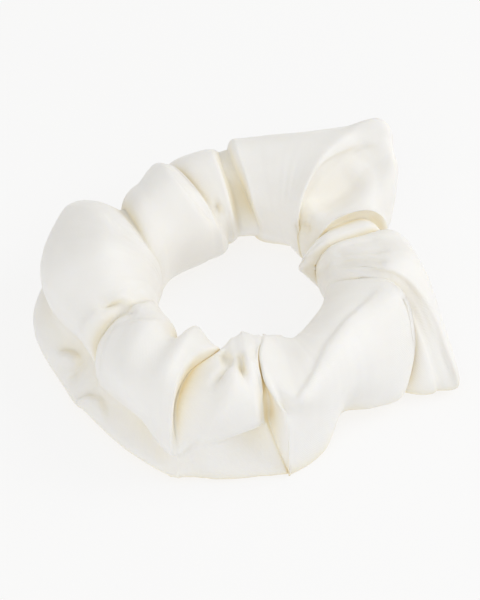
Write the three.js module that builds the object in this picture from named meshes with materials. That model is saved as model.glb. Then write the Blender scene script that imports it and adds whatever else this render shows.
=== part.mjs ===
// Scrunchie: a satin sleeve gathered over a loop of flat elastic.
//
// Millimetres, +Z up. The scrunchie lies flat, and the origin is on the surface it lies on, under
// the middle of the elastic loop. +Y points to the back and angles run anticlockwise from +X.
// The sleeve is one strip of cloth, rolled into a tube. Its long edges turn inwards and are sewn
// along the long seam; its two ends meet at the closing seam. Each seam is a lockstitch, which has
// a needle thread and a bobbin thread.
import * as THREE from "three";

// Driving dimensions.
const CLOTH = 0.7; // wall of the sleeve: about two layers of gathered satin
const SEAM_GAP = 1.6; // between the two edges that a seam joins
const ALLOWANCE = 5; // the depth of the edges turned in at the long seam
const THREAD = 0.3; // thread diameter
const THREAD_CLEARANCE = 0.25; // between two threads of one seam

const ELASTIC_RADIUS = 29.3; // middle of the band, about 184 mm round
const ELASTIC_WIDTH = 6;
const ELASTIC_THICKNESS = 0.9;
const ELASTIC_HEIGHT = 14.5; // middle of the band above the surface
const ELASTIC_LAP = 12; // the length that the band's two ends overlap

const LAP_STITCH = 1.6; // one zigzag stitch of the elastic's join

// How finely the sleeve is divided along its length and round its section.
const STEPS_PER_RIB = 3;
const SECTION_STEPS = 20;
const LONG_SEAM_AT = 0.84; // share of the section, from the elastic over the top to the underside

const degrees = Math.PI / 180;
const mix = (a, b, share) => a + (b - a) * share;
const smooth = (t) => t * t * (3 - 2 * t);

// The ribs of the gathered sleeve, clockwise from the closing seam as seen from above. A crest is the
// middle of a puff and a crease is the fold between two puffs. Each is a closed section through
// four points, given as [angle, distance from the axis, height]: the root against the elastic,
// the crown on top, the rim outside and the sole below. bulge is how round the shoulder is from
// crown to rim: 1 is a straight slope and 2 is a quarter of an ellipse.
const rib = (root, crown, rim, sole, bulge) => ({ root, crown, rim, sole, bulge });
const RIBS = [
  rib([10, 21, 15], [-4, 38, 32], [-15, 59, 5], 0, 1.3), // the peak beside the closing seam
  rib([-12, 22, 16], [-15, 40, 27], [-28, 47, 5], 4, 1.7),
  rib([-32, 22, 17], [-33, 36, 30], [-38, 49, 5], 0, 1.8), // the broad cone at the front right
  rib([-45, 24, 17], [-50, 37, 28], [-50, 42, 5], 4, 1.8),
  rib([-62, 25, 18], [-66, 38, 28], [-74, 52, 4], 0, 1.4), // the pointed front fold
  rib([-84, 26, 18], [-80, 37, 23], [-80, 47, 5], 4, 1.7),
  rib([-94, 25, 18], [-90, 36, 31], [-90, 52, 4], 0, 1.8), // the fan of small gathers
  rib([-110, 26, 18], [-112, 38, 27], [-106, 52, 4], 2, 1.8),
  rib([-118, 23, 18], [-118, 34, 32], [-112, 53, 4], 0, 1.8), // the upright front ridge
  rib([-128, 25, 18], [-128, 35, 28], [-124, 51, 4], 3, 1.8),
  rib([-146, 23, 17], [-140, 38, 32], [-137, 52, 5], 0, 2.0), // the front left puff
  rib([-176, 23, 17], [-160, 35, 26], [-152, 48, 6], 4, 1.8),
  rib([-186, 22, 17], [-188, 40, 37.5], [-190, 58, 14], 0, 2.0), // the big left puff
  rib([-198, 24, 15], [-213, 35, 26], [-218, 44, 12], 4, 1.8),
  rib([-222, 21, 15], [-232, 34, 33], [-235, 49, 14], 0, 2.1), // the back left puff
  rib([-250, 23, 15], [-243, 35, 27], [-245, 47, 12], 4, 1.8),
  rib([-258, 25, 15], [-255, 38, 31], [-255, 51, 14], 0, 2.0), // the back middle puff
  rib([-272, 26, 15], [-268, 37, 25], [-265, 49, 12], 4, 1.8),
  rib([-292, 25, 16], [-287, 37, 34], [-286, 54, 24], 0, 1.6), // the ear's flat panel
  rib([-306, 24, 15], [-305, 38, 39], [-313, 58, 37.5], 2, 1.3), // the tip of the ear
  rib([-314, 24, 15], [-321, 35, 25], [-326, 44, 12], 4, 1.6),
  rib([-324, 22, 14], [-333, 35, 29], [-338, 47, 12], 0, 1.8), // the right-hand gathers
  rib([-336, 22, 14], [-346, 36, 27], [-351, 48, 8], 4, 1.8),
];
const turned = ([angle, far, high]) => [angle - 360, far, high];
const again = RIBS[0];
const ROUND = [
  ...RIBS,
  rib(turned(again.root), turned(again.crown), turned(again.rim), again.sole, again.bulge),
];
const SLEEVE_STEPS = RIBS.length * STEPS_PER_RIB;

// The rib at a share of the way round the sleeve, between the two nearest of the list.
function ribAt(share) {
  const place = THREE.MathUtils.euclideanModulo(share, 1) * RIBS.length;
  const [a, b] = [ROUND[Math.floor(place)], ROUND[Math.floor(place) + 1]];
  const t = smooth(place % 1);
  const point = (name) => a[name].map((value, i) => mix(value, b[name][i], t));
  return rib(point("root"), point("crown"), point("rim"), mix(a.sole, b.sole, t), mix(a.bulge, b.bulge, t));
}

// A point of a rib's section: the angle, the distance from the axis and the height. turn runs
// from 0 at the root, over the crown at 1/4 and the rim at 1/2, to the sole at 3/4.
function sectionPoint({ root, crown, rim, sole, bulge }, turn) {
  const under = [(root[0] + rim[0]) / 2, (root[1] + rim[1]) / 2, sole];
  const corners = [root, crown, rim, under, root];
  const quarter = Math.min(Math.floor(turn * 4), 3);
  const t = turn * 4 - quarter;
  const [a, b] = [corners[quarter], corners[quarter + 1]];
  const power = 2 / (quarter === 1 ? bulge : 2);
  const rise = Math.sin((t * Math.PI) / 2) ** power;
  const fall = 1 - Math.cos((t * Math.PI) / 2) ** power;
  const steepFirst = quarter % 2 === 0;
  return [
    mix(a[0], b[0], smooth(t)),
    mix(a[1], b[1], steepFirst ? fall : rise),
    mix(a[2], b[2], steepFirst ? rise : fall),
  ];
}

const FLAT_SOLE = 1.2; // the puffs press this far into the surface, which flattens them

// The sleeve's outer face at a share of its length and a turn of its section.
function skinPoint(share, turn, lift = 0) {
  const [angle, far, high] = sectionPoint(ribAt(share), turn - Math.floor(turn));
  return new THREE.Vector3(
    far * Math.cos(angle * degrees),
    far * Math.sin(angle * degrees),
    Math.max(high - FLAT_SOLE, lift),
  );
}

// The direction in which the sleeve runs, from one rib towards the next.
function forward(share, turn) {
  const step = 0.001;
  const way = skinPoint(share + step, turn, -Infinity);
  return way.sub(skinPoint(share - step, turn, -Infinity)).normalize();
}

// The way into the sleeve from its outer face, square to the face.
function inward(share, turn) {
  const step = 0.01;
  const round = skinPoint(share, turn + step, -Infinity);
  round.sub(skinPoint(share, turn - step, -Infinity));
  return round.cross(forward(share, turn)).normalize();
}

// A point at a depth inside the skin. Where the sole is flat, the depth is counted upwards.
function buriedPoint(share, turn, depth) {
  const point = skinPoint(share, turn, -Infinity).addScaledVector(inward(share, turn), depth);
  point.z = Math.max(point.z, depth);
  return point;
}

// A closed solid from a grid of points with an outer and an inner face, joined along its border.
function sheetSolid(outer, inner) {
  const rows = outer.length;
  const columns = outer[0].length;
  const corners = [...outer.flat(), ...inner.flat()];
  const faces = [];
  const at = (side, row, column) => side * rows * columns + row * columns + column;
  const quad = (a, b, c, d) => faces.push(a, c, b, a, d, c);
  for (let r = 0; r < rows - 1; r++) {
    for (let c = 0; c < columns - 1; c++) {
      quad(at(0, r, c), at(0, r, c + 1), at(0, r + 1, c + 1), at(0, r + 1, c));
      quad(at(1, r, c), at(1, r + 1, c), at(1, r + 1, c + 1), at(1, r, c + 1));
    }
  }
  for (let r = 0; r < rows - 1; r++) {
    quad(at(0, r, 0), at(0, r + 1, 0), at(1, r + 1, 0), at(1, r, 0));
    quad(at(0, r + 1, columns - 1), at(0, r, columns - 1), at(1, r, columns - 1), at(1, r + 1, columns - 1));
  }
  for (let c = 0; c < columns - 1; c++) {
    quad(at(0, 0, c + 1), at(0, 0, c), at(1, 0, c), at(1, 0, c + 1));
    quad(at(0, rows - 1, c), at(0, rows - 1, c + 1), at(1, rows - 1, c + 1), at(1, rows - 1, c));
  }
  return new THREE.BufferGeometry().setFromPoints(corners).setIndex(faces);
}

// One row of the sleeve: round the section from one side of the long seam to the other, with the
// two seam allowances turned in at its ends. shift moves the row along the sleeve.
function sleeveRow(share, depth, shift = 0) {
  const step = 0.02;
  const stepped = skinPoint(share, LONG_SEAM_AT).distanceTo(skinPoint(share, LONG_SEAM_AT + step));
  const half = ((SEAM_GAP / 2) * step) / stepped;
  const from = LONG_SEAM_AT + half;
  const to = LONG_SEAM_AT + 1 - half;
  const shifted = (point, turn) => point.addScaledVector(forward(share, turn), shift);
  const row = [];
  for (let i = 0; i <= SECTION_STEPS; i++) {
    const turn = mix(from, to, i / SECTION_STEPS);
    row.push(shifted(buriedPoint(share, turn, depth), turn));
  }
  const flap = (turn) => {
    const base = buriedPoint(share, LONG_SEAM_AT, ALLOWANCE);
    const way = buriedPoint(share, turn, 0).sub(buriedPoint(share, LONG_SEAM_AT, 0)).normalize();
    return shifted(base.addScaledVector(way, SEAM_GAP / 2 + depth), LONG_SEAM_AT);
  };
  return [flap(from), ...row, flap(to)];
}

// The strip's two end rows stand back from the closing seam by half of its gap.
function sleeve() {
  const faces = (depth) => {
    const rows = [sleeveRow(0, depth, SEAM_GAP / 2)];
    for (let i = 1; i < SLEEVE_STEPS; i++) {
      rows.push(sleeveRow(i / SLEEVE_STEPS, depth));
    }
    rows.push(sleeveRow(1, depth, -SEAM_GAP / 2));
    return rows;
  };
  return sheetSolid(faces(0), faces(CLOTH));
}

// A thread of square section along a list of points.
function thread(points, steps = points.length - 1) {
  const half = THREAD / 2;
  const section = new THREE.Shape([
    new THREE.Vector2(-half, -half),
    new THREE.Vector2(half, -half),
    new THREE.Vector2(half, half),
    new THREE.Vector2(-half, half),
  ]);
  const path = new THREE.CatmullRomCurve3(points, false, "chordal");
  return new THREE.ExtrudeGeometry(section, { steps, extrudePath: path });
}

// The threads of the long seam run between the two turned-in allowances, just inside the skin.
const LONG_NEEDLE_DEPTH = 0.6;
const LONG_BOBBIN_DEPTH = LONG_NEEDLE_DEPTH + THREAD + THREAD_CLEARANCE;
const CLEAR_OF_CLOSING = 0.012; // share of the sleeve, between these threads and the closing seam
function longSeam(depth) {
  const margin = CLEAR_OF_CLOSING;
  const stitches = SLEEVE_STEPS * 2;
  const points = [];
  for (let i = 0; i <= stitches; i++) {
    points.push(buriedPoint(mix(margin, 1 - margin, i / stitches), LONG_SEAM_AT, depth));
  }
  return thread(points);
}

// The threads of the closing seam run round the section, between the strip's two ends, and stop
// short of the long seam.
const CLOSING_NEEDLE_DEPTH = 0.3;
const CLOSING_BOBBIN_DEPTH = CLOSING_NEEDLE_DEPTH + THREAD + THREAD_CLEARANCE;
const CLOSING_SEAM_STEPS = 60;
function closingSeam(depth) {
  return thread(sleeveRow(0, depth).slice(2, -2), CLOSING_SEAM_STEPS);
}

// The elastic is a flat strip bent into a loop, with one end lapped outside the other.
const LAP_SPACE = 0.35; // between the two lapped ends
const LAP_TURN = ELASTIC_LAP / ELASTIC_RADIUS;
const LAP_RAMP = 0.25; // radians over which the outer end climbs on to the inner one
const LAP_STEP = ELASTIC_THICKNESS + LAP_SPACE;
const BAND_STEPS = 72;
function bandRadius(turn) {
  const start = 2 * Math.PI - LAP_RAMP;
  return ELASTIC_RADIUS + LAP_STEP * smooth(THREE.MathUtils.clamp((turn - start) / LAP_RAMP, 0, 1));
}

function elasticBand() {
  const edge = (offset) => {
    const points = [];
    for (let i = 0; i <= BAND_STEPS; i++) {
      const turn = (i / BAND_STEPS) * (2 * Math.PI + LAP_TURN);
      const far = bandRadius(turn) + offset;
      points.push(new THREE.Vector2(far * Math.cos(turn), far * Math.sin(turn)));
    }
    return points;
  };
  const outline = [...edge(ELASTIC_THICKNESS / 2), ...edge(-ELASTIC_THICKNESS / 2).reverse()];
  const band = new THREE.ExtrudeGeometry(new THREE.Shape(outline), {
    depth: ELASTIC_WIDTH,
    bevelEnabled: false,
  });
  return band.translate(0, 0, ELASTIC_HEIGHT - ELASTIC_WIDTH / 2);
}

// A zigzag row of stitches over the lap, on the outer or the inner face of the band.
const LAP_MARGIN = 1.2; // between the stitches and the lap's edges
function lapStitches(far) {
  const length = ELASTIC_LAP - 2 * LAP_MARGIN;
  const count = Math.round(length / LAP_STITCH) * 2;
  const reach = ELASTIC_WIDTH / 2 - LAP_MARGIN;
  const points = [];
  for (let i = 0; i <= count; i++) {
    const turn = (LAP_MARGIN + (length * i) / count) / ELASTIC_RADIUS;
    const high = ELASTIC_HEIGHT + (i % 2 ? reach : -reach);
    points.push(new THREE.Vector3(far * Math.cos(turn), far * Math.sin(turn), high));
  }
  return thread(points);
}

const FACE_CLEARANCE = 0.3 + THREAD / 2;
const OUTER_FACE = ELASTIC_RADIUS + LAP_STEP + ELASTIC_THICKNESS / 2 + FACE_CLEARANCE;
const INNER_FACE = ELASTIC_RADIUS - ELASTIC_THICKNESS / 2 - FACE_CLEARANCE;

const material = (color, roughness) => new THREE.MeshStandardMaterial({ color, roughness, metalness: 0 });
const satin = material(0xf3efe6, 0.45);
const sewingThread = material(0xf1ede2, 0.6);
const knittedElastic = material(0xf4f3ef, 0.85);

function piece(name, geometry, finish) {
  const mesh = new THREE.Mesh(geometry, finish);
  mesh.name = name;
  return mesh;
}

const cover = new THREE.Group();
cover.add(
  piece("sleeve", sleeve(), satin),
  piece("long_seam_needle_thread", longSeam(LONG_NEEDLE_DEPTH), sewingThread),
  piece("long_seam_bobbin_thread", longSeam(LONG_BOBBIN_DEPTH), sewingThread),
  piece("closing_seam_needle_thread", closingSeam(CLOSING_NEEDLE_DEPTH), sewingThread),
  piece("closing_seam_bobbin_thread", closingSeam(CLOSING_BOBBIN_DEPTH), sewingThread),
);

const elastic = new THREE.Group();
elastic.add(
  piece("elastic_band", elasticBand(), knittedElastic),
  piece("elastic_join_needle_thread", lapStitches(OUTER_FACE), sewingThread),
  piece("elastic_join_bobbin_thread", lapStitches(INNER_FACE), sewingThread),
);

const scrunchie = new THREE.Group();
scrunchie.add(cover, elastic);

export default scrunchie;
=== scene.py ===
import math

import bpy
import numpy as np
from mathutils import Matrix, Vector

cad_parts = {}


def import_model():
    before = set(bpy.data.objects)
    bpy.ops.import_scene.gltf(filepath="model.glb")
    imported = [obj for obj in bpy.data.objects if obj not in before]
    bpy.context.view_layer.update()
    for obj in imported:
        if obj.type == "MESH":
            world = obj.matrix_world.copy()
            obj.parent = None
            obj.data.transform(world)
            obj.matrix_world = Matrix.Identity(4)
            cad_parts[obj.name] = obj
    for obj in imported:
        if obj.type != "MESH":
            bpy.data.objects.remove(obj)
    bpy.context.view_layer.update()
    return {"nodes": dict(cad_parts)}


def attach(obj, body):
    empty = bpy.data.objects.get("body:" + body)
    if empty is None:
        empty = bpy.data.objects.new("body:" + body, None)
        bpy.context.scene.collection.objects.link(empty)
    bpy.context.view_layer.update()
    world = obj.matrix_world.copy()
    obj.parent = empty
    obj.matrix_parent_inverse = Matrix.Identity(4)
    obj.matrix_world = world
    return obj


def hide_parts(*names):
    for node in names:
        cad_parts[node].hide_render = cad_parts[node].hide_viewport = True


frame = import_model()

MM = 0.001
FULL_TURN = 360.0

# ---------------------------------------------------------------- the cover's base shape

# the cover is a grid of points: rows round the loop, and columns round the tube, which are closer
# together on the part that is seen from above
ROWS = 480
COLUMNS_ON_TOP = 64
COLUMNS_BELOW = 32
TOP_ENDS = 0.56

# the lowest that any point of the grid may lie, so that the cloth rests on the floor
LOWEST = 0.35

# where the points of a section sit along it, from the root inside the hole, up over the crown and
# out to the rim: five points, or six or seven where the cloth hangs over itself at the rim
STATIONS = {
    5: (0.0, 0.11, 0.24, 0.38, 0.52),
    6: (0.0, 0.11, 0.24, 0.36, 0.44, 0.53),
    7: (0.0, 0.11, 0.24, 0.35, 0.42, 0.46, 0.54),
}

# the underside of every section has three more points, going back from the rim to the root: where
# they sit along the section, and how much of the rim's turn away from the root they keep
UNDER_STATIONS = (0.65, 0.80, 0.93)
UNDER_LEANS = (0.85, 0.35, 0.05)

# their distances: the first is drawn in from the rim, the second lies at a share of the way from
# root to rim, and the third lies out from the root, less far for a higher heel
RIM_TUCK = 1.0
RIM_TUCK_SHARE = 0.12
MIDDLE_REACH = 0.40
HEEL_OUT = 3.4
HEEL_DRAWN_IN = 1.9

# added to the width between two sections, so that a narrow fold still gets its share of the rows
SPAN_EXTRA = 1.5

ROUND, SHARP = "round", "sharp"


def rib(edge, puff, *top, sole=0.0, heel=0.42):
    """One section of the gathered tube, drawn from its root to its rim. edge says if it is a fold's
    round back or the sharp bottom of a crease, and puff how full the cloth swells between a round
    section and a crease beside it. sole is the height of the underside, and heel the share of the
    root's height where the underside meets it."""
    root, rim = top[0], top[-1]
    lean = rim[0] - root[0]
    reach = rim[1] - root[1]
    angles = [root[0] + lean * share for share in UNDER_LEANS]
    distances = (
        rim[1] - RIM_TUCK_SHARE * reach - RIM_TUCK,
        root[1] + MIDDLE_REACH * reach,
        root[1] + HEEL_OUT - HEEL_DRAWN_IN * heel,
    )
    heights = (min(sole, rim[2]), sole, root[2] * heel)
    points = [(share, *place) for share, place in zip(STATIONS[len(top)], top)]
    points += zip(UNDER_STATIONS, angles, distances, heights)
    return {"edge": edge, "puff": puff, "points": points}


# the sections, clockwise round the loop as seen from above
RIBS = {
    "seam": rib(ROUND, 1.0, (14, 22, 14), (10, 24.5, 24), (-2, 36, 31), (-6, 46, 27), (-18, 61, 5)),
    "seam_right": rib(ROUND, 1.6,
        (8, 22, 15), (4, 24.5, 24), (-7, 38, 30), (-14, 47, 21), (-22, 56, 4)),
    "seam_crease": rib(SHARP, 2.0,
        (2, 22.5, 15), (0, 24.3, 23), (-10, 38.5, 28.5), (-18, 41, 19), (-26, 47, 4)),
    "front_right_edge": rib(ROUND, 2.0,
        (-4, 22.3, 15), (-6, 24, 23.5), (-11, 41, 31.5), (-18, 48.3, 20.5), (-29, 49.5, 6), sole=1),
    "front_right": rib(ROUND, 2.0,
        (-30, 22.3, 17), (-34, 23.5, 25), (-33, 35.5, 31.5), (-37, 44, 23), (-39, 45.5, 7), sole=2),
    "front_dent": rib(ROUND, 2.0,
        (-48, 24, 18), (-52, 25, 26), (-49, 37.5, 30.5), (-50, 43, 20), (-48.5, 40, 5), sole=2),
    "front_low": rib(ROUND, 1.0,
        (-58, 25, 18), (-60, 26, 27), (-61, 41, 28), (-62, 45, 17), (-62, 46, 2)),
    "vee": rib(ROUND, 1.0,
        (-66, 24.5, 18), (-68, 23.2, 27), (-71.5, 43, 26.5), (-72.8, 45, 21), (-73.5, 46.6, 16),
        (-74.2, 47.8, 10), (-75, 49.3, 1.2)),
    "leaf_edge": rib(ROUND, 1.2,
        (-73, 24.5, 18), (-75.5, 22.6, 27.2), (-82, 33, 29.8), (-78.6, 42, 25.3),
        (-75.6, 45.8, 19.5), (-75.4, 46.8, 11), (-75.3, 49.15, 1.5)),
    "gap": rib(SHARP, 0.6,
        (-75, 24.5, 18), (-77, 22.5, 27.0), (-82.4, 33, 29.3), (-79.8, 39, 22), (-79.4, 38.8, 15),
        (-79.4, 39.8, 11.8), (-75.8, 48.4, 1.8)),
    "fan_edge": rib(ROUND, 0.8,
        (-79, 23, 18), (-79, 22.2, 27.2), (-83.4, 33.3, 29.6), (-82.8, 41.5, 23.5),
        (-82.2, 42.5, 16), (-80.9, 40.4, 12.5), (-76.2, 48.5, 2)),
    "fan_right": rib(ROUND, 2.0,
        (-86, 22.5, 18), (-89, 20.5, 27), (-88, 33, 31), (-86, 44, 24), (-86, 44, 15.5),
        (-86, 40, 12.5), (-85, 48.3, 2.5)),
    "fan_mid": rib(ROUND, 1.3,
        (-96, 23, 18), (-97.4, 23, 27.5), (-95, 32, 30.5), (-98, 42.5, 27), (-103, 48, 15.5),
        (-104, 47.5, 11.5), (-102.5, 50.5, 2.5)),
    "ridge_foot": rib(SHARP, 0.75,
        (-107, 26.5, 18), (-101.5, 28.5, 26), (-113, 36, 26), (-113.5, 46, 20), (-109, 51, 11.5),
        (-108, 49.5, 8.5), (-107, 52, 3)),
    "ridge": rib(ROUND, 2.0,
        (-108, 25, 18), (-103, 27.3, 28.2), (-112, 35, 31), (-112.5, 47, 28), (-110.5, 53.2, 12.5),
        (-110, 50.5, 8.5), (-109, 53, 3)),
    "roll": rib(ROUND, 2.0,
        (-118, 23.5, 18), (-120, 23.5, 28.8), (-119, 33, 32.8), (-117.5, 46.5, 29),
        (-114, 52.5, 13), (-113, 50, 9), (-111.5, 53, 3)),
    "valley": rib(ROUND, 2.0,
        (-126, 26.5, 17), (-125.5, 28.2, 26.2), (-127, 35, 31), (-124, 47, 27), (-119, 50, 13.5),
        (-118, 48.5, 10), (-116, 53, 4.5)),
    "left_front": rib(ROUND, 2.0,
        (-138, 25, 17), (-138, 25.6, 27), (-138, 35.5, 32.5), (-131, 48.3, 25), (-126, 47.5, 14),
        (-125, 45.5, 11.5), (-123, 52, 5)),
    "left_edge": rib(ROUND, 2.0,
        (-156, 23.5, 16), (-152, 25.5, 27), (-150, 35, 30.5), (-146.5, 45.5, 22), (-144, 46.5, 13),
        (-143, 45.5, 10.5), (-141, 51, 5)),
    "left_fold": rib(SHARP, 2.0,
        (-163, 23.5, 15), (-160, 25.5, 25), (-156, 33, 27), (-153, 41, 20), (-150, 44.5, 12),
        (-149, 45.5, 9), (-148, 51.5, 5)),
    "egg_lip": rib(ROUND, 2.0,
        (-169, 23.5, 14), (-167, 25, 26), (-162, 36, 31), (-159, 46.5, 23), (-157, 45, 16),
        (-157, 43.5, 13), (-155, 51.5, 4)),
    "egg_crest": rib(ROUND, 2.0,
        (-184, 22.5, 14), (-182, 25, 28), (-178, 38, 38), (-179, 53.5, 28), (-179, 53, 18),
        (-179, 51, 13.5), (-179, 56.8, 8)),
    "egg_back": rib(ROUND, 2.0,
        (-192, 22.3, 14), (-192, 24.5, 28), (-196, 38, 37), (-202, 53, 29), (-203, 53, 18),
        (-203, 50.5, 14), (-204, 54.5, 8)),
    "back_left_crease": rib(SHARP, 2.0,
        (-193, 22.5, 15), (-194, 24.5, 25), (-206, 32, 28), (-216, 39, 24.5), (-219, 43, 10),
        sole=2, heel=0.55),
    "back_left": rib(ROUND, 2.0,
        (-205, 22.3, 13), (-209, 23.5, 25), (-219, 33.5, 32), (-227.5, 43.5, 26), (-230, 46.5, 10),
        heel=0.6),
    "back_mid": rib(ROUND, 2.0,
        (-237, 19.5, 14), (-238, 20.5, 25), (-237, 33, 34), (-237, 44.5, 29), (-238, 48.5, 12),
        heel=0.65),
    "back_right": rib(ROUND, 2.0,
        (-253, 19.5, 14), (-250, 21, 24), (-243, 33, 32), (-241, 43.5, 28), (-243, 47.5, 12),
        heel=0.72),
    "back_crease": rib(SHARP, 2.0,
        (-260, 23, 14), (-254, 21.5, 21), (-243, 32, 28.5), (-242, 43.5, 27), (-244, 46.5, 12),
        sole=3, heel=0.72),
    "back_lobe": rib(ROUND, 2.0,
        (-264, 24.5, 14), (-261, 24.5, 25), (-257, 36, 32.5), (-257, 45, 27.5), (-258, 49, 13),
        heel=0.72),
    "recess_left": rib(SHARP, 1.0,
        (-268, 26, 15), (-265, 29, 23.5), (-261, 35.5, 29.5), (-261, 44.3, 26.5), (-262, 48.5, 13),
        sole=2, heel=0.72),
    "recess_right": rib(SHARP, 2.0,
        (-280, 26.5, 15), (-274, 30, 21.5), (-266.5, 35, 29), (-264.5, 44.3, 27.5), (-266, 49, 13),
        sole=2, heel=0.72),
    "panel_left": rib(ROUND, 1.0,
        (-287, 25, 15.5), (-278, 25, 25.5), (-269.5, 35, 33), (-267, 45, 31), (-268, 50, 14),
        heel=0.75),
    "panel_right": rib(ROUND, 1.0,
        (-297, 24.5, 16), (-291, 25.5, 26.5), (-285, 35, 34), (-283, 46, 33), (-282, 53, 17),
        heel=0.78),
    "ear_back": rib(ROUND, 2.0,
        (-304, 24, 15), (-300.5, 25.3, 27), (-297, 35.3, 35.3), (-299, 48, 36.4), (-303, 57, 29),
        heel=0.7),
    "ear_crest": rib(ROUND, 1.6,
        (-309, 24, 14), (-305, 25.5, 27.5), (-303, 35.5, 36), (-306, 49.5, 38.3),
        (-312.5, 58.8, 37), heel=0.65),
    "ear_fold": rib(SHARP, 1.0,
        (-310, 24.5, 14), (-306.5, 26, 25), (-305, 35.5, 31), (-309, 47, 33.6), (-315.5, 57, 35),
        heel=0.6),
    "cup": rib(ROUND, 1.5,
        (-313, 24, 14), (-312, 27.5, 26), (-314, 38, 28), (-316, 48.5, 31.5), (-319.5, 55, 31),
        heel=0.5),
    "lip": rib(ROUND, 2.0,
        (-319, 23.8, 14), (-322, 27.4, 25), (-325.6, 34.7, 28.6), (-329.5, 41.6, 27.6),
        (-330, 45.5, 18)),
    "lip_crease": rib(SHARP, 2.0,
        (-321.5, 24, 14), (-323, 27.3, 22.5), (-325, 34, 24.3), (-329, 39.8, 23.6),
        (-331.5, 42.5, 13)),
    "small_fold": rib(ROUND, 2.0,
        (-326, 18.5, 17), (-328, 23, 24.4), (-331.5, 33, 26.8), (-334, 40, 26), (-336, 44, 13),
        heel=0.75),
    "gather_1": rib(SHARP, 2.0,
        (-331, 23.5, 15), (-333, 26, 23), (-336, 34, 24.6), (-337, 40, 23.2), (-339, 43.5, 12)),
    "gather_2": rib(ROUND, 2.0,
        (-335, 22, 14), (-338, 24.5, 24.5), (-343.5, 35, 28.5), (-344.5, 45, 27.3),
        (-351, 50.3, 12)),
    "gather_3": rib(ROUND, 2.0,
        (-340, 21.5, 14), (-344, 25, 24.5), (-353, 35.5, 30.5), (-356, 47, 28.5), (-367, 54.5, 9)),
}


def cubic(start, stop, start_slope, stop_slope, t):
    """The smooth curve between two points with these slopes, t from 0 to 1 along it."""
    return (
        start * (2 * t**3 - 3 * t**2 + 1)
        + start_slope * (t**3 - 2 * t**2 + t)
        + stop * (3 * t**2 - 2 * t**3)
        + stop_slope * (t**3 - t**2)
    )


def spline(points, shares):
    """A closed smooth curve through points [(share, angle, distance, height)], at these shares."""
    p = np.array(points, float)
    x = np.concatenate([p[-2:, 0] - 1, p[:, 0], p[:2, 0] + 1])
    y = np.concatenate([p[-2:, 1:], p[:, 1:], p[:2, 1:]])
    gap = np.diff(x)
    slope = np.diff(y, axis=0) / gap[:, None]
    weighted = slope[:-1] * gap[1:, None] + slope[1:] * gap[:-1, None]
    m = weighted / (gap[:-1] + gap[1:])[:, None]
    i = np.clip(np.searchsorted(x, shares, side="right") - 1, 1, len(x) - 3)
    t = ((shares - x[i]) / gap[i])[:, None]
    step = gap[i][:, None]
    return cubic(y[i], y[i + 1], m[i - 1] * step, m[i] * step, t)


def cartesian(polar):
    """Places given as (angle, distance, height) as (x, y, z)."""
    a = np.radians(polar[..., 0])
    return np.stack([polar[..., 1] * np.cos(a), polar[..., 1] * np.sin(a), polar[..., 2]], -1)


def swell(t, fullness):
    """How far the cloth has gone from one section's shape to the next's, t along the way."""
    return 1 - (1 - t**fullness) ** (1 / fullness)


def blend_share(t, here, there):
    """The next section's share where one of two neighbours is the bottom of a crease."""
    if there["edge"] == SHARP and here["edge"] == SHARP:
        return t
    if there["edge"] == SHARP:
        return swell(t, here["puff"])
    return 1 - swell(1 - t, here["puff"])


def loft():
    """The cover before any stroke: a closed grid that goes smoothly from section to section."""
    shares = np.concatenate([
        np.linspace(0, TOP_ENDS, COLUMNS_ON_TOP, endpoint=False),
        np.linspace(TOP_ENDS, 1, COLUMNS_BELOW, endpoint=False),
    ])
    sections = list(RIBS.values())
    n = len(sections)
    drawn = [spline(section["points"], shares) for section in sections]
    # the list is carried one section past each end, so that every span has its neighbours
    around = range(-1, n + 2)
    curves = [drawn[i % n] - np.array([FULL_TURN * (i // n), 0, 0]) for i in around]
    ribs = [sections[i % n] for i in around]
    spans = [
        np.linalg.norm(cartesian(a) - cartesian(b), axis=1).mean() + SPAN_EXTRA
        for a, b in zip(curves[:-1], curves[1:])
    ]
    # a round section between two round ones keeps one slope on both sides, so no edge shows there
    slopes = {}
    for i in range(1, n + 1):
        if all(ribs[k]["edge"] == ROUND for k in (i - 1, i, i + 1)):
            slopes[i] = (curves[i + 1] - curves[i - 1]) / (spans[i - 1] + spans[i])
    if 1 in slopes:
        slopes[n + 1] = slopes[1]
    ends = np.concatenate([[0], np.cumsum(spans[1 : n + 1])])
    grid = []
    for k in range(ROWS):
        place = k / ROWS * ends[-1]
        i = min(n, int(np.searchsorted(ends, place, side="right")))
        t = (place - ends[i - 1]) / spans[i]
        a, b = curves[i], curves[i + 1]
        turn_only = (b - a) * np.array([1.0, 0, 0])
        start = slopes[i] * spans[i] if i in slopes else turn_only
        stop = slopes[i + 1] * spans[i] if i + 1 in slopes else turn_only
        row = cubic(a, b, start, stop, t)
        if SHARP in (ribs[i]["edge"], ribs[i + 1]["edge"]):
            share = blend_share(t, ribs[i], ribs[i + 1])
            row[:, 1:] = a[:, 1:] * (1 - share) + b[:, 1:] * share
        grid.append(row)
    return above_floor(cartesian(np.array(grid)))


def above_floor(cloth):
    """The cloth with every point that is too low raised to LOWEST."""
    cloth[..., 2] = np.maximum(cloth[..., 2], LOWEST)
    return cloth


# ---------------------------------------------------------------- strokes that shape the cloth

# the direction, from the cloth, in which strokes are laid on it and from which it is looked at
ELEVATION = math.radians(50)
SIGHT = np.array([0, -math.cos(ELEVATION), math.sin(ELEVATION)])

# how a stroke is laid: its points, how near the cloth must be to a point's line of sight to count
# as under it, and how many neighbouring depths are averaged
STROKE_POINTS = 60
NEAR_SIGHT_LINE = 1.6
NEAREST_SLACK = 0.3
DEPTHS_AVERAGED = 7

# how gradually the upper layer of a fold gives way to the lower one
OVERLAP_SOFTNESS = 0.7

SHORTEST_VECTOR = 1e-9


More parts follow.
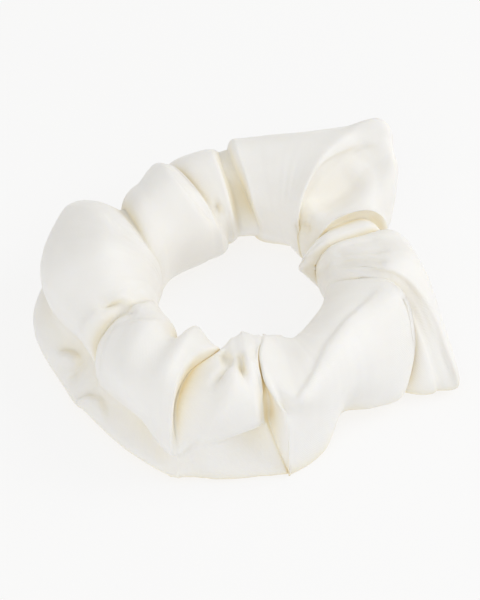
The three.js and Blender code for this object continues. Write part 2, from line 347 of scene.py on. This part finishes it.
def unit(vectors):
    """These vectors at length 1."""
    lengths = np.linalg.norm(vectors, axis=-1, keepdims=True)
    return vectors / np.maximum(lengths, SHORTEST_VECTOR)


def normals(cloth):
    """The outward direction at every point of the grid."""
    along = np.roll(cloth, -1, 0) - np.roll(cloth, 1, 0)
    across = np.roll(cloth, -1, 1) - np.roll(cloth, 1, 1)
    return unit(np.cross(along, across))


def smooth_path(points):
    """A smooth curve through points [(angle, distance, height)], as evenly spaced (x, y, z)."""
    p = cartesian(np.array(points, float))
    d = np.concatenate([[0], np.cumsum(np.linalg.norm(np.diff(p, axis=0), axis=1))])
    m = np.gradient(p, d, axis=0)
    at = np.linspace(0, d[-1], STROKE_POINTS)
    i = np.clip(np.searchsorted(d, at, side="right") - 1, 0, len(d) - 2)
    step = (d[i + 1] - d[i])[:, None]
    return cubic(p[i], p[i + 1], m[i] * step, m[i + 1] * step, (at - d[i])[:, None] / step)


def lay_on(cloth, path):
    """Moves a path's points along SIGHT until they lie on the topmost cloth there."""
    flat = cloth.reshape(-1, 3)
    facing = normals(cloth).reshape(-1, 3) @ SIGHT > 0.0
    flat = flat[facing]
    depth = np.empty(len(path))
    for k, p in enumerate(path):
        away = flat - p
        along = away @ SIGHT
        off = np.linalg.norm(away - along[:, None] * SIGHT, axis=1)
        close = off < max(NEAR_SIGHT_LINE, off.min() + NEAREST_SLACK)
        depth[k] = along[close].max()
    padded = np.pad(depth, DEPTHS_AVERAGED // 2, mode="edge")
    depth = np.convolve(padded, np.ones(DEPTHS_AVERAGED) / DEPTHS_AVERAGED, mode="valid")
    return path + depth[:, None] * SIGHT


def near(cloth, points):
    """For every point of the cloth: distance to the stroke, share along it, signed distance to its
    left, the unit vector to its left, and the cloth's normal."""
    path = lay_on(cloth, smooth_path(points))
    tangent = np.gradient(path, axis=0)
    tangent /= np.linalg.norm(tangent, axis=1, keepdims=True)
    flat = cloth.reshape(-1, 3)
    best = np.full(len(flat), np.inf)
    index = np.zeros(len(flat), int)
    for k, p in enumerate(path):
        d = np.linalg.norm(flat - p, axis=1)
        closer = d < best
        best[closer] = d[closer]
        index[closer] = k
    n = normals(cloth)
    left = unit(np.cross(n.reshape(-1, 3), tangent[index]))
    signed = np.einsum("ij,ij->i", flat - path[index], left)
    grid = cloth.shape[:2]
    return (
        best.reshape(grid),
        (index / (STROKE_POINTS - 1)).reshape(grid),
        signed.reshape(grid),
        left.reshape(cloth.shape),
        n,
    )


def taper(t, ends):
    """1 along a stroke, falling softly to 0 over these shares of it at its two ends."""
    w = np.ones_like(t)
    if ends[0]:
        w = w * np.clip(t / ends[0], 0, 1)
    if ends[1]:
        w = w * np.clip((1 - t) / ends[1], 0, 1)
    return w * w * (3 - 2 * w)


def crease(cloth, points, depth, width, ends=(0.25, 0.25)):
    """Presses a line into the cloth."""
    d, t, _, _, n = near(cloth, points)
    w = np.clip(1 - d / width, 0, 1) ** 2 * taper(t, ends)
    return cloth - n * (depth * w)[..., None]


def swelling(cloth, points, height, width, ends=(0.3, 0.3)):
    """Raises, or with a negative height lowers, a broad soft band of cloth."""
    d, t, _, _, n = near(cloth, points)
    w = np.exp(-2 * (d / width) ** 2) * taper(t, ends)
    return cloth + n * (height * w)[..., None]


def fold(cloth, points, height, width, over=0.0, ends=(0.2, 0.2)):
    """The cloth to the left of the stroke lies over the cloth to its right: it rises by height and
    leans over by over, and the lower layer sinks by height."""
    d, t, signed, left, n = near(cloth, points)
    w = np.clip(1 - d / width, 0, 1) ** 2 * taper(t, ends)
    upper = 0.5 + 0.5 * np.tanh(signed / OVERLAP_SOFTNESS)
    lift = height * w * (2 * upper - 1)
    return cloth + n * lift[..., None] - left * (over * w * upper)[..., None]


def pinch(cloth, at, reach, pull, depth):
    """Draws the cloth towards one point and presses it in."""
    centre = lay_on(cloth, cartesian(np.array([at], float)))[0]
    away = centre - cloth
    d = np.linalg.norm(away, axis=-1)
    w = np.clip(1 - d / reach, 0, 1) ** 2
    n = normals(cloth)
    away = away - n * np.sum(away * n, -1, keepdims=True)
    return cloth + away * (pull * w)[..., None] - n * (depth * w * w)[..., None]


def shape_front(cloth):
    """The fan of pleats at the front, the leaf and the vee to its right."""
    cloth = pinch(cloth, (-98.5, 30, 28), reach=9, pull=0.3, depth=2.6)
    cloth = crease(
        cloth,
        [(-97.2, 31, 28), (-99.4, 34.7, 28), (-101.5, 38, 27), (-103.2, 41, 25)],
        depth=3.4, width=2.9, ends=(0.05, 0.7),
    )
    cloth = crease(
        cloth,
        [(-102.2, 28, 28), (-99.5, 29.8, 28), (-97, 31.4, 28), (-95.5, 32.4, 28)],
        depth=2.8, width=2.6, ends=(0.1, 0.4),
    )
    cloth = crease(
        cloth,
        [(-94, 28.5, 29), (-91, 33.5, 29), (-88.6, 39, 27)],
        depth=3.6, width=2.9, ends=(0.1, 0.6),
    )
    cloth = swelling(
        cloth,
        [(-95, 30, 29), (-94, 35, 30), (-94, 40, 28), (-98, 44, 22), (-102, 46, 14)],
        height=1.6, width=4,
    )
    cloth = swelling(
        cloth,
        [(-90, 28, 29), (-85, 34, 29), (-82, 38, 27), (-81, 39, 20)],
        height=1.0, width=2.6,
    )
    cloth = fold(
        cloth,
        [(-76, 22, 27), (-82, 29, 29), (-83, 35, 29), (-80, 40, 26), (-78, 43, 23), (-76, 45, 20)],
        height=0.6, width=4, over=0.8, ends=(0.2, 0.1),
    )
    cloth = fold(
        cloth,
        [(-9, 38, 31), (-19, 35, 31), (-34, 33, 31), (-51, 35, 31), (-64, 41, 29), (-70, 44, 27),
         (-74, 46, 24)],
        height=0.8, width=5.5, over=0.6, ends=(0.1, 0.12),
    )
    cloth = fold(
        cloth,
        [(-148, 46, 8), (-143, 45, 9), (-136, 44, 10), (-129, 44, 11), (-120, 48, 11),
         (-115, 52, 10), (-110, 53, 9), (-106, 52, 9), (-103, 50, 10), (-102, 47, 12),
         (-100, 46, 13), (-93, 44, 13), (-89, 42, 13), (-79, 40, 13)],
        height=0.5, width=3, over=0.5, ends=(0.1, 0.05),
    )
    return cloth


def shape_right(cloth):
    """The ear, the pinch below it, and the gathers and the closing seam on the right."""
    cloth = pinch(cloth, (50, 25.5, 22), reach=8, pull=0.3, depth=3.0)
    cloth = fold(
        cloth,
        [(54, 25, 20), (53, 25, 28), (55, 28, 31), (55, 32, 34), (55, 36, 36), (53, 41, 37),
         (51, 46, 37), (48, 50, 37), (46, 54, 36)],
        height=0.6, width=6, over=1.0, ends=(0.15, 0.1),
    )
    cloth = swelling(cloth, [(49, 28, 27), (47, 36, 31), (45, 45, 33)], height=-1.2, width=6)
    cloth = crease(
        cloth,
        [(25, 25, 23), (19, 28, 26), (15, 33, 27.5), (13, 41, 27)],
        depth=3.0, width=3.0,
    )
    cloth = crease(cloth, [(24, 28, 25), (21, 33, 27), (19, 40, 27)], depth=1.3, width=2.4)
    cloth = crease(
        cloth,
        [(22, 24, 22), (14, 27, 25), (9, 33, 27.5), (7, 40, 27)],
        depth=2.6, width=2.8,
    )
    cloth = crease(
        cloth,
        [(42, 20, 18), (31, 19.8, 20), (24, 21.5, 22), (19, 23.5, 24)],
        depth=1.3, width=2.2,
    )
    cloth = swelling(cloth, [(18, 24, 24), (8, 29, 27), (4, 39, 28)], height=-1.2, width=3)
    cloth = crease(
        cloth,
        [(34, 18, 17), (33, 22, 24), (32, 27, 26)],
        depth=1.2, width=2.2, ends=(0.2, 0.4),
    )
    cloth = crease(
        cloth,
        [(15, 19, 20), (14, 21, 23), (15, 23, 25)],
        depth=2.0, width=3, ends=(0.0, 0.3),
    )
    cloth = fold(
        cloth,
        [(11, 25.5, 24), (6, 27.5, 26), (1.5, 32, 28.5), (-2, 38.5, 30), (-5, 43, 30), (-6, 46, 27),
         (-8, 50, 22), (-12, 54, 17), (-16, 57, 11), (-19, 61, 5)],
        height=0.8, width=3, over=0.5, ends=(0.3, 0.0),
    )
    cloth = crease(
        cloth,
        [(8, 26, 25), (3, 29, 27.5), (-2, 34, 29.5), (-5, 39, 30), (-6, 42, 29), (-8, 45, 27),
         (-11, 49, 22), (-15, 53, 16), (-17, 57, 10), (-21, 61, 5)],
        depth=0.7, width=1.4, ends=(0.4, 0.0),
    )
    return cloth


def shape_left(cloth):
    """The egg-shaped puff on the left and the fold that lies over its foot."""
    cloth = fold(
        cloth,
        [(-140, 26, 28), (-143, 29, 30), (-147, 33, 30), (-150, 38, 29), (-151, 40, 26),
         (-150, 43, 22), (-149, 45, 15), (-149, 46, 10)],
        height=0.7, width=5, over=0.8, ends=(0.1, 0.2),
    )
    cloth = crease(
        cloth,
        [(-163, 43, 30.5), (-158.5, 39, 31), (-155, 35.5, 31), (-152.5, 31, 29)],
        depth=2.8, width=4.0, ends=(0.4, 0.25),
    )
    cloth = swelling(
        cloth,
        [(-170, 30, 29), (-165, 29, 28), (-162, 26, 26)],
        height=-0.9, width=3.5,
    )
    cloth = fold(
        cloth,
        [(-153.7, 53.2, 9), (-154.6, 50.4, 13), (-155, 48.8, 16), (-157.6, 50.4, 16),
         (-161.4, 52.9, 14)],
        height=1.6, width=4.5, over=0.9,
    )
    cloth = fold(
        cloth,
        [(-137, 49.5, 5), (-143.6, 48.6, 9), (-146.7, 50, 9), (-149, 53.1, 6)],
        height=1.5, width=4.0, over=0.8, ends=(0.4, 0.1),
    )
    cloth = crease(
        cloth,
        [(150, 42, 30), (155, 38, 32), (159, 34, 32), (161, 31, 31), (165, 27, 30)],
        depth=1.6, width=4, ends=(0.2, 0.4),
    )
    cloth = swelling(
        cloth,
        [(-163, 52, 12), (-159, 50, 14), (-157, 48, 14)],
        height=1.0, width=2.5, ends=(0, 0.2),
    )
    return cloth


def shape_back(cloth):
    """The lobes and the recess at the back."""
    cloth = fold(
        cloth,
        [(101, 21, 14), (105, 20, 20), (114, 19, 28), (119, 21, 30), (121, 30, 30), (121, 37, 30),
         (119, 44, 28)],
        height=0.5, width=5, over=0.6,
    )
    cloth = crease(
        cloth,
        [(104, 25, 29), (107, 24, 28), (106, 22, 26), (104, 21, 22)],
        depth=1.6, width=2.6,
    )
    cloth = fold(
        cloth,
        [(91, 24, 20), (95, 23, 27), (98, 28, 30), (99, 37, 29), (100, 45, 28)],
        height=0.5, width=4, over=0.6,
    )
    return cloth


# ---------------------------------------------------------------- gathers and the cover's mesh

# how many ripples of each kind run round the loop, and how high they are
GATHER_SEED = 7
FINE_GATHERS = (61, 83, 104)
FINE_HEIGHT = 0.012
DEEP_GATHERS = (17, 24, 33, 46)
DEEP_HEIGHT = 0.8

# the deep ones start where the cloth faces this far away from SIGHT, and are calmer near the floor
HIDDEN_FROM = 0.15
HIDDEN_FADE = 0.5
CALM_BELOW = 8.0
CALM_SHARE = 0.4

# how a ripple wanders sideways along the loop and across the tube, in radians
DRIFTS_ROUND_LOOP = (5, 11)
DRIFT = 1.4
BEND = 1.5

CLOTH_THICKNESS = 0.3
CELLS_PER_UV_UNIT = 10


def waves(cloth, counts, random):
    """Uneven ripples that run round the tube, as many as counts round the loop."""
    rows, columns = cloth.shape[:2]
    u = np.arange(rows)[:, None] / rows
    v = np.arange(columns)[None, :] / columns
    total = np.zeros((rows, columns))
    for count in counts:
        phase, slant = random.uniform(0, 2 * math.pi, 2)
        drift = np.sin(2 * math.pi * random.integers(*DRIFTS_ROUND_LOOP) * u + slant)
        bend = np.sin(2 * math.pi * v + phase)
        total += np.sin(2 * math.pi * count * u + phase + DRIFT * drift + BEND * bend)
    return total


def gathers(cloth):
    """Fine gathers all over, and deep ones on the back and the underside, where no fold is drawn."""
    random = np.random.default_rng(GATHER_SEED)
    n = normals(cloth)
    hidden = np.clip((-HIDDEN_FROM - n @ SIGHT) / HIDDEN_FADE, 0, 1)
    hidden = hidden * np.clip(cloth[..., 2] / CALM_BELOW, CALM_SHARE, 1)
    fine = FINE_HEIGHT * waves(cloth, FINE_GATHERS, random)
    deep = DEEP_HEIGHT * hidden * waves(cloth, DEEP_GATHERS, random)
    return cloth + n * (fine + deep)[..., None]


def mesh_object(name, points):
    """A closed mesh of quads through a grid of points, with the grid's own directions as its UV
    map."""
    rows, columns = points.shape[:2]
    a = np.arange(rows * columns).reshape(rows, columns)
    b = np.roll(a, -1, 0)
    faces = np.stack([a, b, np.roll(b, -1, 1), np.roll(a, -1, 1)], -1).reshape(-1, 4)
    mesh = bpy.data.meshes.new(name)
    mesh.from_pydata((points.reshape(-1, 3) * MM).tolist(), [], faces.tolist())
    mesh.polygons.foreach_set("use_smooth", [True] * len(mesh.polygons))
    u, v = np.meshgrid(np.arange(rows), np.arange(columns), indexing="ij")
    corners = np.stack([
        np.stack([u, v], -1), np.stack([u + 1, v], -1),
        np.stack([u + 1, v + 1], -1), np.stack([u, v + 1], -1),
    ], 2).reshape(-1, 2)
    layer = mesh.uv_layers.new(name="cloth")
    layer.data.foreach_set("uv", (corners / CELLS_PER_UV_UNIT).ravel())
    obj = bpy.data.objects.new(name, mesh)
    bpy.context.scene.collection.objects.link(obj)
    return obj


cloth = loft()
cloth = shape_front(cloth)
cloth = shape_right(cloth)
cloth = shape_left(cloth)
cloth = shape_back(cloth)
cloth = above_floor(gathers(cloth))
cover = mesh_object("satin_cover", cloth)

thick = cover.modifiers.new("cloth_thickness", "SOLIDIFY")
thick.thickness = CLOTH_THICKNESS * MM
thick.offset = -1

# ---------------------------------------------------------------- the sewn threads

THREAD_RADIUS = 0.08
THREAD_SIDES = 6
POINTS_PER_STITCH = 12

# the seams: the row and the column of the cover that they follow, and their stitches
CLOSING_SEAM_ROW = 2
LONG_SEAM_COLUMN = 84
CLOSING_STITCHES = 42
LONG_STITCHES = 136

# how deep under the cloth's face the two threads run, and how far each goes towards the other
NEEDLE_DEPTH = 0.60
BOBBIN_DEPTH = 1.10
STITCH_DIP = 0.14
DIP_SHARPNESS = 8


def thread_object(name, line, inward, depth, dip, stitches):
    """A thread that runs under the cloth along a seam and dips towards its partner at each stitch."""
    at = np.arange(stitches * POINTS_PER_STITCH) / (stitches * POINTS_PER_STITCH)
    k = (at * len(line)).astype(int)
    f = (at * len(line) - k)[:, None]
    after = (k + 1) % len(line)
    way = inward[k] * (1 - f) + inward[after] * f
    reach = depth + dip * np.abs(np.cos(math.pi * at * stitches)) ** DIP_SHARPNESS
    p = line[k] * (1 - f) + line[after] * f + way * reach[:, None]
    tangent = np.roll(p, -1, 0) - np.roll(p, 1, 0)
    side = unit(np.cross(tangent, way))
    up = unit(np.cross(side, tangent))
    rings = []
    for a in np.arange(THREAD_SIDES) * 2 * math.pi / THREAD_SIDES:
        rings.append(p + THREAD_RADIUS * (math.cos(a) * side + math.sin(a) * up))
    return mesh_object(name, np.stack(rings, 1))


def seam(name, line, inward, stitches):
    """The needle and bobbin threads of one seam, under the names of the CAD nodes they stand for."""
    needle = thread_object(
        name + "_needle_stitches", line, inward, NEEDLE_DEPTH, STITCH_DIP, stitches)
    bobbin = thread_object(
        name + "_bobbin_stitches", line, inward, BOBBIN_DEPTH, -STITCH_DIP, stitches)
    return {name + "_needle_thread": needle, name + "_bobbin_thread": bobbin}


inward = -normals(cloth)
threads = {
    **seam("closing_seam", cloth[CLOSING_SEAM_ROW], inward[CLOSING_SEAM_ROW], CLOSING_STITCHES),
    **seam("long_seam", cloth[:, LONG_SEAM_COLUMN], inward[:, LONG_SEAM_COLUMN], LONG_STITCHES),
}

# ---------------------------------------------------------------- materials

# of the knitted elastic: ribs across its width, and courses of stitches round the loop
KNIT_RIBS_PER_METRE = 1300
KNIT_COURSES = 230


def new_material(name):
    """A material, its node tree and its shader."""
    material = bpy.data.materials.new(name)
    material.use_nodes = True
    tree = material.node_tree
    return material, tree, tree.nodes["Principled BSDF"]


def set_inputs(node, values):
    """Sets a node's sockets from {socket name: value}."""
    for name, value in values.items():
        node.inputs[name].default_value = value


def texture(tree, kind, vector, values):
    """A texture node of this kind over the socket vector."""
    node = tree.nodes.new(kind)
    set_inputs(node, values)
    tree.links.new(vector, node.inputs["Vector"])
    return node


def colour_ramp(tree, share, stops):
    """A colour that goes through stops [(share, colour)] as the socket share does."""
    node = tree.nodes.new("ShaderNodeValToRGB")
    elements = node.color_ramp.elements
    for element, (position, colour) in zip(elements, (stops[0], stops[-1])):
        element.position = position
        element.color = (*colour, 1)
    for position, colour in stops[1:-1]:
        elements.new(position).color = (*colour, 1)
    tree.links.new(share, node.inputs["Fac"])
    return node.outputs["Color"]


def bump(tree, height, strength, distance, under=None):
    """The surface's normal over the socket height, on top of the normal under, if there is one."""
    node = tree.nodes.new("ShaderNodeBump")
    set_inputs(node, {"Strength": strength, "Distance": distance})
    tree.links.new(height, node.inputs["Height"])
    if under is not None:
        tree.links.new(under, node.inputs["Normal"])
    return node.outputs["Normal"]


def cloth_uv(tree):
    """The directions of the grid that a mesh was made from."""
    node = tree.nodes.new("ShaderNodeUVMap")
    node.uv_map = "cloth"
    return node.outputs["UV"]


def multiply_colours(tree, first, second):
    node = tree.nodes.new("ShaderNodeMix")
    node.data_type = "RGBA"
    node.blend_type = "MULTIPLY"
    node.inputs["Factor"].default_value = 1.0
    colours = [socket for socket in node.inputs if socket.type == "RGBA"]
    tree.links.new(first, colours[0])
    tree.links.new(second, colours[1])
    return next(socket for socket in node.outputs if socket.type == "RGBA")


def satin():
    """Ivory satin: a faintly uneven colour, with painted shade that makes it darker and yellower
    where folds shelter it, a diagonal weave and a fine grain."""
    material, tree, shader = new_material("ivory_satin")
    set_inputs(shader, {
        "Roughness": 0.55,
        "Specular IOR Level": 0.35,
        "Sheen Weight": 0.25,
        "Sheen Roughness": 0.4,
        "Subsurface Weight": 0.2,
        "Subsurface Radius": (1.0, 0.75, 0.45),
        "Subsurface Scale": 0.002,
    })
    place = tree.nodes.new("ShaderNodeTexCoord").outputs["Object"]
    clouds = texture(tree, "ShaderNodeTexNoise", place, {"Scale": 60})
    ivory = colour_ramp(tree, clouds.outputs["Fac"], [
        (0.35, (0.85, 0.825, 0.785)),
        (0.65, (0.88, 0.86, 0.825)),
    ])
    # painted shade: ambient occlusion darkens the colour and turns it yellow in creases and hollows
    crease_occlusion = tree.nodes.new("ShaderNodeAmbientOcclusion")
    crease_occlusion.samples = 8
    crease_occlusion.inputs["Distance"].default_value = 0.009
    painted_crease_shade = colour_ramp(tree, crease_occlusion.outputs["AO"], [
        (0.0, (1.0, 0.80, 0.40)),
        (0.5, (1.0, 0.955, 0.82)),
        (0.95, (1.0, 1.0, 1.0)),
    ])
    tree.links.new(multiply_colours(tree, ivory, painted_crease_shade), shader.inputs["Base Color"])
    weave = texture(tree, "ShaderNodeTexWave", cloth_uv(tree), {"Scale": 9, "Distortion": 2})
    weave.bands_direction = "DIAGONAL"
    grain = texture(tree, "ShaderNodeTexNoise", place, {"Scale": 1500, "Detail": 3})
    woven = bump(tree, weave.outputs["Fac"], strength=0.08, distance=0.0003)
    grained = bump(tree, grain.outputs["Fac"], strength=0.12, distance=0.0002, under=woven)
    tree.links.new(grained, shader.inputs["Normal"])
    return material


def twisted_thread():
    """Spun thread: a fine twist as bump, and a slightly uneven ivory."""
    material, tree, shader = new_material("ivory_thread")
    set_inputs(shader, {"Roughness": 0.6, "Sheen Weight": 0.3})
    twist = texture(tree, "ShaderNodeTexWave", cloth_uv(tree), {"Scale": 2.5})
    twist.bands_direction = "DIAGONAL"
    ivory = colour_ramp(tree, twist.outputs["Fac"], [
        (0.0, (0.72, 0.69, 0.62)),
        (1.0, (0.86, 0.84, 0.78)),
    ])
    tree.links.new(ivory, shader.inputs["Base Color"])
    twisted = bump(tree, twist.outputs["Fac"], strength=0.6, distance=0.00005)
    tree.links.new(twisted, shader.inputs["Normal"])
    return material


def maths(tree, operation, first, second=None):
    """A calculation on one or two sockets or numbers."""
    node = tree.nodes.new("ShaderNodeMath")
    node.operation = operation
    for socket, value in zip(node.inputs, (first, second)):
        if isinstance(value, float):
            socket.default_value = value
        elif value is not None:
            tree.links.new(value, socket)
    return node.outputs["Value"]


def knit():
    """Knitted elastic: ribs over the rubber strands, crossed by courses of stitches."""
    material, tree, shader = new_material("white_knit")
    set_inputs(shader, {"Roughness": 0.8, "Sheen Weight": 0.2})
    axes = tree.nodes.new("ShaderNodeSeparateXYZ")
    place = tree.nodes.new("ShaderNodeTexCoord").outputs["Object"]
    tree.links.new(place, axes.inputs["Vector"])
    turn = maths(tree, "ARCTAN2", axes.outputs["Y"], axes.outputs["X"])
    across = maths(tree, "MULTIPLY", axes.outputs["Z"], 2 * math.pi * KNIT_RIBS_PER_METRE)
    courses = maths(tree, "SINE", maths(tree, "MULTIPLY", turn, float(KNIT_COURSES)))
    lower_courses = maths(tree, "MULTIPLY", courses, 0.5)
    height = maths(tree, "ADD", maths(tree, "SINE", across), lower_courses)
    share = maths(tree, "ADD", maths(tree, "MULTIPLY", height, 0.33), 0.5)
    white = colour_ramp(tree, share, [(0.0, (0.62, 0.60, 0.56)), (1.0, (0.87, 0.86, 0.83))])
    tree.links.new(white, shader.inputs["Base Color"])
    knitted = bump(tree, height, strength=0.8, distance=0.0002)
    tree.links.new(knitted, shader.inputs["Normal"])
    return material


def finish_cad_node(node, material):
    """Gives a CAD node that stays in view its material."""
    mesh = frame["nodes"][node].data
    mesh.materials.clear()
    mesh.materials.append(material)


thread_material = twisted_thread()
cover.data.materials.append(satin())
for piece in threads.values():
    piece.data.materials.append(thread_material)
finish_cad_node("elastic_band", knit())
finish_cad_node("elastic_join_needle_thread", thread_material)
finish_cad_node("elastic_join_bobbin_thread", thread_material)

# ---------------------------------------------------------------- floor, light and camera, in metres

FLOOR_HALF = 3.0
LIGHT_AIM = (0, 0, 0.015)
CAMERA_AIM = Vector((0, 0, 0.017))
CAMERA_DISTANCE = 1.0776
CAMERA_LENS = 240
CAMERA_SHIFT = -0.005


def floor():
    """A wide pale floor that glows a little, so that it stays even and near white."""
    mesh = bpy.data.meshes.new("floor")
    s = FLOOR_HALF
    mesh.from_pydata([(-s, -s, 0), (s, -s, 0), (s, s, 0), (-s, s, 0)], [], [(0, 1, 2, 3)])
    obj = bpy.data.objects.new("floor", mesh)
    bpy.context.scene.collection.objects.link(obj)
    material, _, shader = new_material("pale_floor")
    set_inputs(shader, {
        "Base Color": (0.14, 0.14, 0.14, 1),
        "Roughness": 1.0,
        "Specular IOR Level": 0.0,
        "Emission Color": (1, 1, 1, 1),
        "Emission Strength": 0.80,
    })
    mesh.materials.append(material)


def aim(obj, at):
    """Turns a light or camera to look at a place."""
    obj.rotation_mode = "QUATERNION"
    obj.rotation_quaternion = (Vector(at) - obj.location).to_track_quat("-Z", "Y")


def area_light(name, place, size, power):
    light = bpy.data.lights.new(name, "AREA")
    light.size = size
    light.energy = power
    obj = bpy.data.objects.new(name, light)
    obj.location = place
    aim(obj, LIGHT_AIM)
    bpy.context.scene.collection.objects.link(obj)


def camera():
    cam = bpy.data.objects.new("camera", bpy.data.cameras.new("camera"))
    bpy.context.scene.collection.objects.link(cam)
    cam.location = CAMERA_AIM + Vector(SIGHT) * CAMERA_DISTANCE
    cam.data.lens = CAMERA_LENS
    cam.data.clip_start = 0.01
    cam.data.shift_x = CAMERA_SHIFT
    cam.data.shift_y = CAMERA_SHIFT
    aim(cam, CAMERA_AIM)
    bpy.context.scene.camera = cam


def world():
    """Soft, slightly warm light from all round."""
    studio = bpy.data.worlds.new("studio")
    bpy.context.scene.world = studio
    studio.use_nodes = True
    background = studio.node_tree.nodes["Background"]
    set_inputs(background, {"Color": (1, 0.985, 0.95, 1), "Strength": 0.76})


floor()
world()
area_light("key", (0.45, 0.08, 0.38), size=0.35, power=1.2)
area_light("fill", (-0.18, -0.46, 0.34), size=0.5, power=0.82)
camera()
bpy.context.scene.view_settings.view_transform = "Standard"

# ---------------------------------------------------------------- bodies

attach(cover, "cover")
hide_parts("sleeve")
for node, piece in threads.items():
    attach(piece, "cover")
    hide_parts(node)
